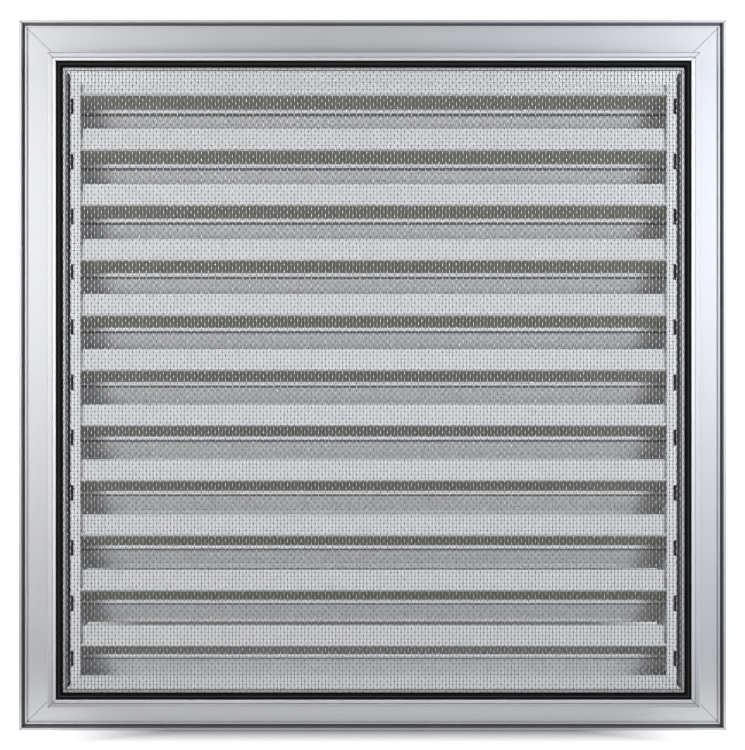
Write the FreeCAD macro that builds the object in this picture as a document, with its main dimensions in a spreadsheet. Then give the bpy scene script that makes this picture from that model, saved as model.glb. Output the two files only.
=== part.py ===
import FreeCAD, Part
import math
import os
import re
import Sketcher

# Flanged aluminium louvre for a wall opening, seen at its best from inside the wall.
# X runs to the right, +Z is up and +Y points outdoors. The origin is the centre of the grille
# in the plane of the wall: the flange lies outdoors of it and the hollow body stands in the wall.

doc = FreeCAD.newDocument("WallGrille")
sheet = doc.addObject("Spreadsheet::Sheet", "Sizes")

SIZES = [
    ("body_width", "591", "hollow body, outer face to outer face"),
    ("body_height", "594", "hollow body, outer face to outer face"),
    ("body_depth", "52", "from the wall plane back to the rear face of the body"),
    ("frame_wall", "2", "walls round the hollow chamber of a rail"),
    ("flange_overhang", "38", "flange beyond the body on every side"),
    ("flange_offset", "4", "wall plane to the flange's rear face, bridged by the rim"),
    ("flange_wall", "2", "thickness of the flange and of the stop lip"),
    ("rim_wall", "2.4", "thickness of the return rim that meets the wall"),
    ("seal_groove", "3", "width of the groove for a sealing bead beside the rim"),
    ("rib_wall", "1.4", "thickness of the low rib that closes the sealing groove"),
    ("rib_height", "1.8", "height of that rib above the flange"),
    ("edge_strip", "4.1", "flat strip along the outer edge of the rear face"),
    ("edge_step", "0.8", "how far that strip lies below the groove lips"),
    ("edge_line", "0.8", "width of the fine line between strip and lip"),
    ("line_depth", "0.6", "depth of that line below the strip"),
    ("outer_lip", "2.9", "lip outside the spline groove"),
    ("spline_groove", "6.5", "width of the spline groove"),
    ("groove_depth", "6", "depth of the spline groove"),
    ("inner_lip", "1.9", "lip inside the spline groove, under the mesh"),
    ("inner_step", "1", "how far the inner lip lies below the outer lip"),
    ("stop_lip", "9.8", "lip at the front that holds the blade cassette"),
    ("edge_round", "0.8", "rounding of the long outer edges of a rail"),
    ("mitre_gap", "0.08", "half of the hairline at each mitred corner"),
    ("fit_gap", "0.2", "clearance between pieces that seat on each other"),
    ("cleat_leg", "52", "length of a corner cleat's legs"),
    ("cleat_window", "26", "length of the opening in each leg of a cleat"),
    ("cleat_rib", "3", "wall left round the opening in a cleat's leg"),
    ("ring_inset", "29.4", "outer face of the body to the clear opening"),
    ("cassette_gap", "0.8", "gap round the head and sill strips"),
    ("side_gap", "4.6", "inner lip to the rear flange of a blade carrier"),
    ("cassette_wall", "1.8", "wall of the carriers and of the head and sill strips"),
    ("carrier_step", "2", "rear flange of a carrier beyond its web"),
    ("notch_reach", "3.4", "notch for the screw heads in the carrier's rear flange"),
    ("notch_depth", "4", "depth of that notch"),
    ("blade_count", "11", "number of blades, spread evenly from head to sill"),
    ("blade_wall", "1.6", "wall of the blade extrusion"),
    ("blade_lip", "18.6", "upright lip along the rear of a blade"),
    ("knee_depth", "18", "foot of the lip to the knee, outwards"),
    ("knee_drop", "14", "foot of the lip to the knee, down"),
    ("nose_depth", "31.4", "foot of the lip to the back of the nose, outwards"),
    ("nose_drop", "37", "foot of the lip to the drip edge, down"),
    ("nose_tip", "3.6", "upright end of the nose"),
    ("lip_notch", "2.4", "end of a lip short of the clear opening's edge"),
    ("port_radius", "2.5", "outer radius of a screw port"),
    ("port_bore", "1.6", "bore radius of a screw port"),
    ("port_slit", "1.2", "slit of the upper screw port"),
    ("upper_port_depth", "15", "upper screw port, outwards from the foot"),
    ("upper_port_drop", "7.6", "upper screw port, down from the foot"),
    ("lower_port_depth", "19", "lower screw port, outwards from the foot"),
    ("lower_port_drop", "15", "lower screw port, down from the foot"),
    ("head_radius", "3.3", "radius of a screw head"),
    ("head_height", "3.2", "height of a screw head"),
    ("shank_radius", "1.4", "radius of a screw's shank"),
    ("shank_length", "14", "length of a screw's shank"),
    ("screw_hole", "1.7", "radius of the screw holes in a carrier"),
    ("spline_crown", "1.4", "slope along the spline's visible edges"),
    ("spline_corner", "3", "radius of the spline's outer corners"),
    ("mesh_sheet", "0.4", "thickness of the mesh between its raised wires"),
    ("mesh_ridge", "0.4", "height of the raised wires"),
    ("mesh_wire", "0.8", "width of the raised wires"),
    ("mesh_tuck", "0.5", "thickness of the mesh edge tucked into the groove"),
    ("tuck_depth", "3", "depth of that edge"),
    ("mesh_bar", "6.2", "width of the solid bars between the gaps of the mesh"),
    ("mesh_columns", "9", "gaps across the mesh"),
    ("mesh_rows", "10", "gaps down the mesh"),
]

for row, (alias, text, meaning) in enumerate(SIZES, start=1):
    sheet.set(f"A{row}", alias)
    sheet.set(f"B{row}", text)
    sheet.set(f"C{row}", meaning)
    sheet.setAlias(f"B{row}", alias)
doc.recompute()

# Distances from the outer face of the body inwards
GROOVE_OUTER = "(edge_strip + edge_line + outer_lip)"
GROOVE_INNER = f"({GROOVE_OUTER} + spline_groove)"
INNER_FACE = f"({GROOVE_INNER} + inner_lip)"
STOP_EDGE = f"({INNER_FACE} + stop_lip)"
CHAMBER_INNER = f"({INNER_FACE} - frame_wall)"
STRIP_BACK = f"({INNER_FACE} + cassette_gap)"
STRIP_FACE = f"({STRIP_BACK} + cassette_wall)"
CARRIER_EDGE = f"({INNER_FACE} + side_gap)"
WEB_BACK = f"({CARRIER_EDGE} + carrier_step)"
WEB_FACE = f"({WEB_BACK} + cassette_wall)"
TUCK_INNER = f"({GROOVE_INNER} - fit_gap)"
TUCK_OUTER = f"({TUCK_INNER} - mesh_tuck)"

# Places along Y, from indoors to outdoors
REAR = "(-body_depth)"
GROOVE_FLOOR = "(groove_depth - body_depth)"
CHAMBER_REAR = f"({GROOVE_FLOOR} + frame_wall)"
LIP_FACE = "(inner_step - body_depth)"
RING_REAR = f"({LIP_FACE} + mesh_ridge)"
RING_FRONT = f"({RING_REAR} + cassette_wall)"
BLADE_REAR = f"({RING_FRONT} + fit_gap)"
SEAT_REAR = "(flange_offset - fit_gap - cassette_wall)"
SEAT_FRONT = "(flange_offset - fit_gap)"
FLANGE_FRONT = "(flange_offset + flange_wall)"

# Heights of the feet of the first and last blade
TOP_FOOT = f"(body_height / 2 - {STRIP_FACE} - fit_gap - blade_lip)"
LAST_FOOT = f"({STRIP_FACE} + fit_gap + nose_drop - body_height / 2)"
BLADE_RUN = f"({TOP_FOOT} - {LAST_FOOT})"

# One side of the frame for each quarter turn about Y: span of that side and outer face of the body
SIDES = {
    "bottom": (0, "body_width", ("0", "-body_height / 2")),
    "left": (90, "body_height", ("-body_width / 2", "0")),
    "top": (180, "body_width", ("0", "body_height / 2")),
    "right": (270, "body_height", ("body_width / 2", "0")),
}
CORNERS = {
    "bottom_left": (0, ("-body_width / 2", "-body_height / 2")),
    "top_left": (90, ("-body_width / 2", "body_height / 2")),
    "top_right": (180, ("body_width / 2", "body_height / 2")),
    "bottom_right": (270, ("body_width / 2", "-body_height / 2")),
}
# Cuts run past what they cut by this much, and edges are told apart by their distance
CUT_MARGIN = 1.0
SAME_PLACE = 0.01
# Screws, their holes and their ports come by the dozen, so each is a prism with few sides
SCREW_SIDES = 6
PORT_SIDES = 8

parts = []


def number(formula):
    """The value of a formula of sizes."""
    return float(sheet.evalExpression(str(formula)))


def bound(formula):
    """The same formula as an expression that other objects can follow."""
    return re.sub(r"\b[a-z]+(?:_[a-z]+)+\b", lambda word: "Sizes." + word.group(), str(formula))


def new_body(label):
    """A body that is one piece of the grille."""
    body = doc.addObject("PartDesign::Body", label)
    body.Label = label
    parts.append(body)
    return body


def place(body, turn, x="0", y="0", z="0"):
    """Turn a piece about Y and let its place follow three formulas."""
    body.Placement = FreeCAD.Placement(FreeCAD.Vector(), FreeCAD.Rotation(FreeCAD.Vector(0, 1, 0), turn))
    for axis, formula in (("x", x), ("y", y), ("z", z)):
        body.setExpression(f"Placement.Base.{axis}", bound(formula))


def origin_feature(body, role):
    """An origin plane or axis of the body."""
    return next(feature for feature in body.Origin.OriginFeatures if feature.Role == role)


def new_sketch(body, name, role, offset=None):
    """A sketch on an origin plane, or at a distance from it along the plane's normal."""
    sketch = body.newObject("Sketcher::SketchObject", name)
    sketch.AttachmentSupport = [(origin_feature(body, role), "")]
    sketch.MapMode = "FlatFace"
    if offset:
        sketch.setExpression("AttachmentOffset.Base.z", bound(offset))
    return sketch


def hold(sketch, kind, places, formula):
    """Add a dimension to a sketch and let it follow a formula."""
    index = sketch.addConstraint(Sketcher.Constraint(kind, *places, number(formula)))
    sketch.setExpression(f"Constraints[{index}]", bound(formula))


def closed_lines(sketch, points):
    """Draw a closed run of lines and return the number of its first line."""
    first = sketch.GeometryCount
    count = len(points)
    for index, point in enumerate(points):
        sketch.addGeometry(Part.LineSegment(point, points[(index + 1) % count]), False)
    for index in range(count):
        following = first + (index + 1) % count
        sketch.addConstraint(Sketcher.Constraint("Coincident", first + index, 2, following, 1))
    return first


def outline(sketch, corners):
    """Draw a closed outline whose corners follow pairs of formulas."""
    first = closed_lines(sketch, [FreeCAD.Vector(number(a), number(b), 0) for a, b in corners])
    for index, (across, up) in enumerate(corners):
        hold(sketch, "DistanceX", (first + index, 1), across)
        hold(sketch, "DistanceY", (first + index, 1), up)


def rectangle(sketch, left, right, low, high):
    """Draw a rectangle between four formulas."""
    outline(sketch, [(left, low), (right, low), (right, high), (left, high)])


def regular_outline(sketch, across, up, radius, sides):
    """Draw a regular polygon about a centre, standing on one of its flats."""
    corners = []
    for corner in range(sides):
        angle = math.tau * (corner + 0.5) / sides - math.pi / 2
        step_across = f"{radius} * {math.cos(angle):.9f}"
        step_up = f"{radius} * {math.sin(angle):.9f}"
        corners.append((f"{across} + {step_across}", f"{up} + {step_up}"))
    outline(sketch, corners)


def add_pad(body, name, sketch, length, symmetric=False, backwards=False):
    """Extrude a sketch by a formula."""
    pad = body.newObject("PartDesign::Pad", name)
    pad.Profile = sketch
    pad.setExpression("Length", bound(length))
    pad.SideType = "Symmetric" if symmetric else "One side"
    pad.Reversed = backwards
    sketch.Visibility = False
    return pad


def add_pocket(body, name, sketch, depth=None, backwards=False):
    """Cut a sketch through the whole body both ways, or one way to a depth."""
    pocket = body.newObject("PartDesign::Pocket", name)
    pocket.Profile = sketch
    if depth is None:
        pocket.Type = "ThroughAll"
        pocket.SideType = "Symmetric"
    else:
        pocket.setExpression("Length", bound(depth))
        pocket.Reversed = backwards
    return pocket


def add_pattern(body, name, originals, axis, length, count):
    """Repeat features along an axis of the body, evenly over a length."""
    pattern = body.newObject("PartDesign::LinearPattern", name)
    pattern.Originals = originals
    pattern.Direction = (origin_feature(body, axis), [""])
    pattern.setExpression("Length", bound(length))
    pattern.setExpression("Occurrences", bound(count))
    body.Tip = pattern
    return pattern


def edge_names(shape, wanted):
    """Names of the edges whose start and end points pass a test."""
    found = []
    for index, edge in enumerate(shape.Edges, start=1):
        if wanted(edge.Vertexes[0].Point, edge.Vertexes[-1].Point):
            found.append(f"Edge{index}")
    return found


def add_fillet(body, name, base, edges, radius):
    """Round named edges of the last feature."""
    fillet = body.newObject("PartDesign::Fillet", name)
    fillet.Base = (base, edges)
    fillet.setExpression("Radius", bound(radius))
    return fillet


def mitre_ends(body, span):
    """Cut both ends of a piece at 45 degrees, along the diagonal through the body's corner."""
    half = f"({span} / 2 - mitre_gap)"
    outside = f"(flange_overhang + {CUT_MARGIN})"
    inside = f"(ring_inset + {CUT_MARGIN})"
    sketch = new_sketch(body, "mitre_outline", "XZ_Plane")
    for sign in ("", "-"):
        outline(sketch, [
            (f"{sign}({half} + {outside})", f"-{outside}"),
            (f"{sign}({half} - {inside})", inside),
            (f"{sign}({half} + {outside})", inside),
        ])
    add_pocket(body, "mitres", sketch)


def make_frame_rail(side):
    """A mitred rail: flange with return rim, hollow body, spline groove and stop lip."""
    turn, span, (x, z) = SIDES[side]
    body = new_body(f"frame_{side}")
    rib_near = "(rim_wall + seal_groove - flange_overhang)"
    rib_far = f"({rib_near} + rib_wall)"
    strip_face = f"({REAR} + edge_step)"
    line_floor = f"({strip_face} + line_depth)"
    lip_start = "(edge_strip + edge_line)"
    section = new_sketch(body, "section", "YZ_Plane")
    outline(section, [
        (FLANGE_FRONT, "-flange_overhang"),
        ("0", "-flange_overhang"),
        ("0", "rim_wall - flange_overhang"),
        ("flange_offset", "rim_wall - flange_overhang"),
        ("flange_offset", rib_near),
        ("flange_offset - rib_height", rib_near),
        ("flange_offset - rib_height", rib_far),
        ("flange_offset", rib_far),
        ("flange_offset", "0"),
        (strip_face, "0"),
        (strip_face, "edge_strip"),
        (line_floor, "edge_strip + edge_line / 2"),
        (REAR, lip_start),
        (REAR, GROOVE_OUTER),
        (GROOVE_FLOOR, GROOVE_OUTER),
        (GROOVE_FLOOR, GROOVE_INNER),
        (LIP_FACE, GROOVE_INNER),
        (LIP_FACE, INNER_FACE),
        ("flange_offset", INNER_FACE),
        ("flange_offset", STOP_EDGE),
        (FLANGE_FRONT, STOP_EDGE),
    ])
    outline(section, [
        ("flange_offset", "frame_wall"),
        (f"{line_floor} + frame_wall", "frame_wall"),
        (f"{line_floor} + frame_wall", f"{GROOVE_OUTER} - frame_wall"),
        (CHAMBER_REAR, f"{GROOVE_OUTER} - frame_wall"),
        (CHAMBER_REAR, CHAMBER_INNER),
        ("flange_offset", CHAMBER_INNER),
    ])
    extrusion = add_pad(body, "extrusion", section, f"{span} + 2 * flange_overhang", symmetric=True)
    doc.recompute()
    rounded = [
        (FLANGE_FRONT, "-flange_overhang"),
        (strip_face, "0"),
        (REAR, GROOVE_OUTER),
        (REAR, lip_start),
        (FLANGE_FRONT, STOP_EDGE),
    ]
    places = [(number(y), number(u)) for y, u in rounded]

    def runs_along_one(start, end):
        if abs(start.y - end.y) > SAME_PLACE or abs(start.z - end.z) > SAME_PLACE:
            return False
        return any(math.hypot(start.y - y, start.z - u) < SAME_PLACE for y, u in places)

    add_fillet(body, "rounded_edges", extrusion, edge_names(extrusion.Shape, runs_along_one), "edge_round")
    mitre_ends(body, span)
    place(body, turn, x=x, z=z)


def make_corner_cleat(corner):
    """An L-shaped cleat that fills the chambers of two rails and has a window in each leg."""
    turn, (x, z) = CORNERS[corner]
    body = new_body(f"corner_cleat_{corner}")
    low = "(frame_wall + fit_gap)"
    high = f"({CHAMBER_INNER} - fit_gap)"
    front = "(flange_offset - fit_gap)"
    legs = new_sketch(body, "legs_outline", "XZ_Plane", f"-{front}")
    outline(legs, [
        (low, low),
        ("cleat_leg", low),
        ("cleat_leg", high),
        (high, high),
        (high, "cleat_leg"),
        (low, "cleat_leg"),
    ])
    add_pad(body, "legs", legs, f"{front} - {CHAMBER_REAR} - fit_gap")
    windows = new_sketch(body, "windows_outline", "XZ_Plane")
    far = "(cleat_leg - cleat_rib)"
    near = f"({far} - cleat_window)"
    rectangle(windows, near, far, f"{low} + cleat_rib", f"{high} - cleat_rib")
    rectangle(windows, f"{low} + cleat_rib", f"{high} - cleat_rib", near, far)
    add_pocket(body, "windows", windows)
    place(body, turn, x=x, z=z)


def make_cassette_strip(side, label):
    """The head or sill of the blade cassette: a channel with a wide rear flange, mitred."""
    turn, span, (x, z) = SIDES[side]
    body = new_body(label)
    section = new_sketch(body, "section", "YZ_Plane")
    outline(section, [
        (RING_REAR, STRIP_BACK),
        (RING_REAR, "ring_inset"),
        (RING_FRONT, "ring_inset"),
        (RING_FRONT, STRIP_FACE),
        (SEAT_REAR, STRIP_FACE),
        (SEAT_REAR, STOP_EDGE),
        (SEAT_FRONT, STOP_EDGE),
        (SEAT_FRONT, STRIP_BACK),
    ])
    add_pad(body, "extrusion", section, f"{span} - 2 * {STRIP_BACK}", symmetric=True)
    mitre_ends(body, span)
    place(body, turn, x=x, z=z)


def first_screw_pair(side):
    """Where the pattern of screw pairs starts along a carrier, and the way that drops point."""
    if side == "left":
        return f"(-{TOP_FOOT})", "+"
    return LAST_FOOT, "-"


def make_blade_carrier(side):
    """An upright of the cassette: web with screw holes, notched rear flange, seat flange."""
    turn, span, (x, z) = SIDES[side]
    body = new_body(f"blade_carrier_{side}")
    section = new_sketch(body, "section", "YZ_Plane")
    outline(section, [
        (RING_REAR, CARRIER_EDGE),
        (RING_REAR, "ring_inset"),
        (RING_FRONT, "ring_inset"),
        (RING_FRONT, WEB_FACE),
        (SEAT_FRONT, WEB_FACE),
        (SEAT_FRONT, f"{INNER_FACE} + fit_gap"),
        (SEAT_REAR, f"{INNER_FACE} + fit_gap"),
        (SEAT_REAR, WEB_BACK),
        (RING_FRONT, WEB_BACK),
        (RING_FRONT, CARRIER_EDGE),
    ])
    add_pad(body, "extrusion", section, f"{span} - 2 * {STRIP_BACK}", symmetric=True)
    mitre_ends(body, span)
    start, down = first_screw_pair(side)
    holes_outline = new_sketch(body, "holes_outline", "XY_Plane")
    for port in ("upper", "lower"):
        regular_outline(holes_outline, f"{start} {down} {port}_port_drop",
                        f"{BLADE_REAR} + {port}_port_depth", "screw_hole", PORT_SIDES)
    holes = add_pocket(body, "screw_holes", holes_outline)
    notch_outline = new_sketch(body, "notch_outline", "XZ_Plane", f"-{RING_REAR}")
    ends = [f"{start} {down} (upper_port_drop - head_radius - fit_gap)",
            f"{start} {down} (lower_port_drop + head_radius + fit_gap)"]
    rectangle(notch_outline, *sorted(ends, key=number),
              f"{CARRIER_EDGE} - {CUT_MARGIN}", f"{CARRIER_EDGE} + notch_reach")
    notch = add_pocket(body, "screw_notch", notch_outline, "notch_depth")
    add_pattern(body, "screw_places", [holes, notch], "X_Axis", BLADE_RUN, "blade_count")
    place(body, turn, x=x, z=z)


def make_blade_screws(side):
    """The screws of one side: a pair of hexagon-headed screws for each blade."""
    turn, span, (x, z) = SIDES[side]
    body = new_body(f"blade_screws_{side}")
    body.AllowCompound = True
    start, down = first_screw_pair(side)
    features = []
    for name, base, radius, length in (
        ("heads", f"{WEB_BACK} - head_height", "head_radius", "head_height"),
        ("shanks", WEB_BACK, "shank_radius", "shank_length"),
    ):
        rounds = new_sketch(body, f"{name}_outline", "XY_Plane", base)
        for port in ("upper", "lower"):
            regular_outline(rounds, f"{start} {down} {port}_port_drop",
                            f"{BLADE_REAR} + {port}_port_depth", radius, SCREW_SIDES)
        features.append(add_pad(body, name, rounds, length))
    add_pattern(body, "screw_places", features, "X_Axis", BLADE_RUN, "blade_count")
    place(body, turn, x=x, z=z)


def offset_path(path, distance):
    """Places of the corners of a path moved sideways by a distance, to start a sketch from."""
    headings = [(b - a).normalize() for a, b in zip(path, path[1:])]
    normals = [FreeCAD.Vector(-heading.y, heading.x, 0) for heading in headings]
    moved = [path[0] + normals[0] * distance]
    for corner, before, after in zip(path[1:-1], normals, normals[1:]):
        moved.append(corner + (before + after) * (distance / (1 + before.dot(after))))
    moved.append(path[-1] + normals[-1] * distance)
    return moved


def folded_strip(sketch, corners, wall):
    """Draw a strip of even wall beside a path whose corners follow formulas."""
    path = [FreeCAD.Vector(number(a), number(b), 0) for a, b in corners]
    inner = offset_path(path, number(wall))
    first = closed_lines(sketch, path + inner[::-1])
    runs = len(path) - 1
    for index, (across, up) in enumerate(corners):
        hold(sketch, "DistanceX", (first + index, 1), across)
        hold(sketch, "DistanceY", (first + index, 1), up)
    for index in range(runs):
        opposite = first + 2 * runs - index
        sketch.addConstraint(Sketcher.Constraint("Parallel", first + index, opposite))
        hold(sketch, "Distance", (opposite, 1, first + index), wall)
    for cap in (first + runs, first + 2 * runs + 1):
        sketch.addConstraint(Sketcher.Constraint("Horizontal", cap))


def make_blade(index):
    """A cranked blade: upright lip, sloping web, knee with screw port, lower web and nose."""
    body = new_body(f"blade_{index + 1:02d}")
    section = new_sketch(body, "section", "YZ_Plane")
    folded_strip(section, [
        ("0", "blade_lip"),
        ("0", "0"),
        ("knee_depth", "-knee_drop"),
        ("nose_depth", "nose_tip - nose_drop"),
        ("nose_depth", "-nose_drop"),
    ], "blade_wall")
    length = f"(body_width - 2 * ({WEB_FACE} + fit_gap))"
    add_pad(body, "extrusion", section, length, symmetric=True)
    ports = new_sketch(body, "ports_outline", "YZ_Plane")
    bores = new_sketch(body, "bores_outline", "YZ_Plane")
    for port in ("upper", "lower"):
        regular_outline(ports, f"{port}_port_depth", f"-{port}_port_drop", "port_radius", PORT_SIDES)
        regular_outline(bores, f"{port}_port_depth", f"-{port}_port_drop", "port_bore", PORT_SIDES)
    add_pad(body, "screw_ports", ports, length, symmetric=True)
    add_pocket(body, "port_bores", bores)
    slit = new_sketch(body, "slit_outline", "YZ_Plane")
    rectangle(slit, "upper_port_depth - port_slit / 2", "upper_port_depth + port_slit / 2",
              "-upper_port_drop", f"port_radius + {CUT_MARGIN} - upper_port_drop")
    add_pocket(body, "port_slit", slit)
    notches = new_sketch(body, "lip_notches_outline", "XZ_Plane")
    clear_half = "(body_width / 2 - ring_inset - lip_notch)"
    beyond = f"({length} / 2 + {CUT_MARGIN})"
    for left, right in ((f"-{beyond}", f"-{clear_half}"), (clear_half, beyond)):
        rectangle(notches, left, right, "blade_wall", f"blade_lip + {CUT_MARGIN}")
    add_pocket(body, "lip_notches", notches)
    foot = f"{TOP_FOOT} - {index} * {BLADE_RUN} / (blade_count - 1)"
    place(body, 0, y=BLADE_REAR, z=foot)


def ring_outline(sketch, outer, inner):
    """Draw two rectangles at two insets from the outer face of the body."""
    for inset in (outer, inner):
        across = f"(body_width / 2 - {inset})"
        up = f"(body_height / 2 - {inset})"
        rectangle(sketch, f"-{across}", across, f"-{up}", up)


def make_mesh_spline():
    """The rubber strip that wedges the mesh into the groove, one length all round."""
    body = new_body("mesh_spline")
    front = f"({GROOVE_FLOOR} - fit_gap)"
    ring = new_sketch(body, "ring_outline", "XZ_Plane", f"-{front}")
    ring_outline(ring, f"({GROOVE_OUTER} + fit_gap)", f"({TUCK_OUTER} - fit_gap)")
    strip = add_pad(body, "strip", ring, f"{front} - {REAR} - fit_gap")
    doc.recompute()
    outer_x = number(f"body_width / 2 - {GROOVE_OUTER} - fit_gap")
    rear = number(f"{REAR} + fit_gap")

    def outer_corner(start, end):
        along_y = abs(start.x - end.x) < SAME_PLACE and abs(start.z - end.z) < SAME_PLACE
        return along_y and abs(abs(start.x) - outer_x) < SAME_PLACE

    def on_rear_face(start, end):
        return abs(start.y - rear) < SAME_PLACE and abs(end.y - rear) < SAME_PLACE

    bent = add_fillet(body, "bent_corners", strip, edge_names(strip.Shape, outer_corner), "spline_corner")
    doc.recompute()
    crown = body.newObject("PartDesign::Chamfer", "crown")
    crown.Base = (bent, edge_names(bent.Shape, on_rear_face))
    crown.setExpression("Size", bound("spline_crown"))


def make_insect_mesh():
    """The mesh: a thin sheet tucked into the groove, with raised wires and open cells."""
    body = new_body("insect_mesh")
    sheet_outline = new_sketch(body, "sheet_outline", "XZ_Plane", f"-{LIP_FACE}")
    half_x = f"(body_width / 2 - {TUCK_OUTER})"
    half_z = f"(body_height / 2 - {TUCK_OUTER})"
    rectangle(sheet_outline, f"-{half_x}", half_x, f"-{half_z}", half_z)
    add_pad(body, "woven_sheet", sheet_outline, "mesh_sheet")
    tuck_outline = new_sketch(body, "tuck_outline", "XZ_Plane", f"-{LIP_FACE}")
    ring_outline(tuck_outline, TUCK_OUTER, TUCK_INNER)
    add_pad(body, "tucked_edge", tuck_outline, "tuck_depth", backwards=True)

    cell_x = "((body_width - 2 * ring_inset) / mesh_columns)"
    cell_z = "((body_height - 2 * ring_inset) / mesh_rows)"
    start_x = "(ring_inset - body_width / 2)"
    start_z = "(ring_inset - body_height / 2)"
    gap_outline = new_sketch(body, "gap_outline", "XZ_Plane")
    rectangle(gap_outline, f"{start_x} + mesh_bar / 2", f"{start_x} + {cell_x} - mesh_bar / 2",
              f"{start_z} + mesh_bar / 2", f"{start_z} + {cell_z} - mesh_bar / 2")
    gap = add_pocket(body, "gap", gap_outline)
    cells = body.newObject("PartDesign::MultiTransform", "gaps")
    cells.Originals = [gap]
    rows_and_columns = []
    for name, axis, cell, count in (
        ("gap_columns", "X_Axis", cell_x, "mesh_columns"),
        ("gap_rows", "Z_Axis", cell_z, "mesh_rows"),
    ):
        pattern = body.newObject("PartDesign::LinearPattern", name)
        pattern.Direction = (origin_feature(body, axis), [""])
        pattern.setExpression("Length", bound(f"{cell} * ({count} - 1)"))
        pattern.setExpression("Occurrences", bound(count))
        rows_and_columns.append(pattern)
    cells.Transformations = rows_and_columns
    body.Tip = cells

    edge_z = "(body_height / 2 - ring_inset)"
    wire = "(mesh_wire / 2)"
    pair = "(mesh_bar / 4)"
    uprights = new_sketch(body, "uprights_outline", "XZ_Plane", f"mesh_sheet - {LIP_FACE}")
    for sign in ("-", "+"):
        middle = f"({start_x} + {cell_x} {sign} {pair})"
        rectangle(uprights, f"{middle} - {wire}", f"{middle} + {wire}", f"-{edge_z}", edge_z)
    raised = add_pad(body, "upright_wires", uprights, "mesh_ridge")
    add_pattern(body, "all_uprights", [raised], "X_Axis", f"{cell_x} * (mesh_columns - 2)",
                "mesh_columns - 1")
    seat_x = f"(body_width / 2 - {INNER_FACE} - fit_gap)"
    levels = new_sketch(body, "level_outline", "XZ_Plane", f"-{LIP_FACE}")
    for sign in ("-", "+"):
        middle = f"({start_z} + {cell_z} {sign} {pair})"
        rectangle(levels, f"-{seat_x}", seat_x, f"{middle} - {wire}", f"{middle} + {wire}")
    lowered = add_pad(body, "level_wires", levels, "mesh_ridge", backwards=True)
    add_pattern(body, "all_levels", [lowered], "Z_Axis", f"{cell_z} * (mesh_rows - 2)", "mesh_rows - 1")


for side in SIDES:
    make_frame_rail(side)
for corner in CORNERS:
    make_corner_cleat(corner)
make_cassette_strip("top", "head_strip")
make_cassette_strip("bottom", "sill_strip")
for side in ("left", "right"):
    make_blade_carrier(side)
    make_blade_screws(side)
for index in range(int(number("blade_count"))):
    make_blade(index)
make_mesh_spline()
make_insect_mesh()
doc.recompute()

# Nothing is written unless every object and every piece is sound
for item in doc.Objects:
    faults = {"Invalid", "Error"} & set(item.State)
    if faults:
        raise RuntimeError(f"{item.Name} is {faults}")
for part in parts:
    shape = part.Shape
    if shape.isNull() or not shape.isValid() or not shape.Solids:
        raise RuntimeError(f"{part.Label} has no sound shape")

os.makedirs("parts", exist_ok=True)
for part in parts:
    part.Shape.exportStep(f"parts/{part.Label}.step")
    print(f"{part.Label}: {len(part.Shape.Solids)} solid, {part.Shape.Volume:.0f} mm3")
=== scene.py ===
"""Wall vent grille: a flanged aluminium louvre, seen from its back, with an insect mesh over the blades."""

import math

import bpy
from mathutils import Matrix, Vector


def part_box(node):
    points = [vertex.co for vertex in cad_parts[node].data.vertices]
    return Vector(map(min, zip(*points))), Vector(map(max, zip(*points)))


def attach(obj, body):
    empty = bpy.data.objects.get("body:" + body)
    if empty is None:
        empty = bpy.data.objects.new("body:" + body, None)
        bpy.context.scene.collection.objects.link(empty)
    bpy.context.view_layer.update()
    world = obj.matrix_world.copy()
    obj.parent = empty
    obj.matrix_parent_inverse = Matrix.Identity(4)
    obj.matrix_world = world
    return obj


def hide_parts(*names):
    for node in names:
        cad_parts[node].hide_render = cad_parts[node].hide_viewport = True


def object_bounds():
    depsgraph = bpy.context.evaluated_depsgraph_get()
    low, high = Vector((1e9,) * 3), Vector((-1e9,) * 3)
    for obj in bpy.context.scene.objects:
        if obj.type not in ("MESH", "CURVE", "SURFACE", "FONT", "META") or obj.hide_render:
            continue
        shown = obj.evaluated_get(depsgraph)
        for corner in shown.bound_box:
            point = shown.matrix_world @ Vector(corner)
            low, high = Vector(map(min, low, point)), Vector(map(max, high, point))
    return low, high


bl_info = {
    "name": "Wall Vent Grille",
    "version": (1, 0, 0),
    "blender": (4, 5, 0),
    "location": "3D View > Sidebar > Grille",
    "description": "Weaves the insect mesh, fits the rubber spline and finishes the metal of a wall louvre",
    "category": "Object",
}

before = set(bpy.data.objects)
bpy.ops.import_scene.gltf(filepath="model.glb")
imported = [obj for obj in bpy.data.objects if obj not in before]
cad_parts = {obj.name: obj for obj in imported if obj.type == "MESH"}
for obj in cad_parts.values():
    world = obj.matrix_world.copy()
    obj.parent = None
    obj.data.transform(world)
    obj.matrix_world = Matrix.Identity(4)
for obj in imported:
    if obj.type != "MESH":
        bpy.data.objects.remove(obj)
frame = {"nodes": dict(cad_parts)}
CAD_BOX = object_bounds()
MM = 0.001

# Names of the pieces that are metal, by the way their drawn grain runs
LEVEL_RAILS = ("frame_top", "frame_bottom")
UPRIGHT_RAILS = ("frame_left", "frame_right")
LEVEL_STRIPS = ("head_strip", "sill_strip")
UPRIGHT_STRIPS = ("blade_carrier_left", "blade_carrier_right")
BLADES = tuple(sorted(name for name in frame["nodes"] if name.startswith("blade_") and name[6:].isdigit()))
CLEATS = tuple(sorted(name for name in frame["nodes"] if name.startswith("corner_cleat")))

# Boxes of the mesh and the spline, and the place of the blades' lips along Y, all from the frame
MESH_LOW, MESH_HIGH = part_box("insect_mesh")
SPLINE_LOW, SPLINE_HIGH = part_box("mesh_spline")
BLADE_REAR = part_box(BLADES[0])[0][1]

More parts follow.
